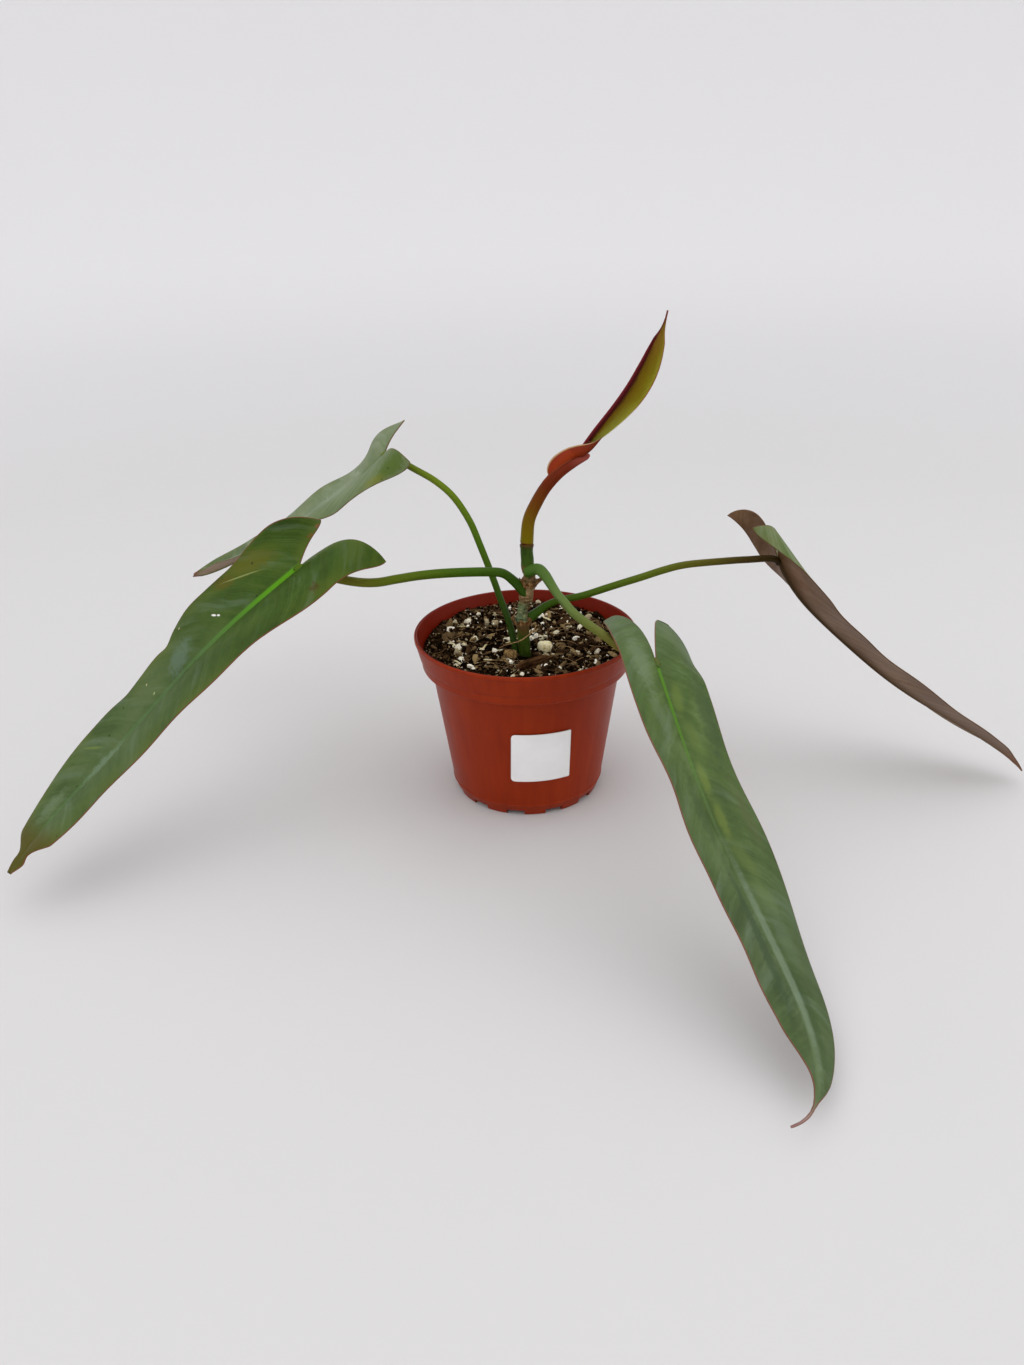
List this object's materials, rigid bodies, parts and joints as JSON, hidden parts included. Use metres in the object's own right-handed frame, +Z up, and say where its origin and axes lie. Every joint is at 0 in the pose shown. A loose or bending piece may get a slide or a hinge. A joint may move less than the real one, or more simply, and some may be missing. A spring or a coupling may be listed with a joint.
{
  "type": "potted philodendron",
  "caption": "Small aroid house plant with long drooping arrow-shaped leaves on slender petioles and an unfurling new leaf, in a round tapered plastic nursery pot.",
  "frame": {"origin": "middle of the flat pad under the pot, on the surface that the pot stands on", "axes": "+Z up along the pot's axis, +X to the right in the front view, along which the leaves reach furthest, -Y to the front, where the label is"},
  "size_m": [0.4382, 0.3391, 0.2127],
  "materials": {
    "pot": "satin",
    "label": "satin",
    "soil": "matte",
    "perlite": "matte",
    "bark": "matte",
    "fibre": "matte",
    "stem": "satin",
    "collar": "matte",
    "leaf": "satin",
    "leaf_turned": "satin",
    "sheath": "satin",
    "new_leaf": "gloss"
  },
  "bodies": {
    "root": {"pot": "pot", "label": "label", "soil": "soil", "perlite_chunk": "perlite", "bark_chip": "bark", "coir_lump": "bark", "dry_fibre": "fibre", "stem": "stem", "collar_lower": "collar", "collar_upper": "collar", "leaf_left_front": "leaf", "leaf_right_front": "leaf", "leaf_left_rear": "leaf", "leaf_right": "leaf_turned", "sheath": "sheath", "new_leaf": "new_leaf"}
  },
  "joints": []
}
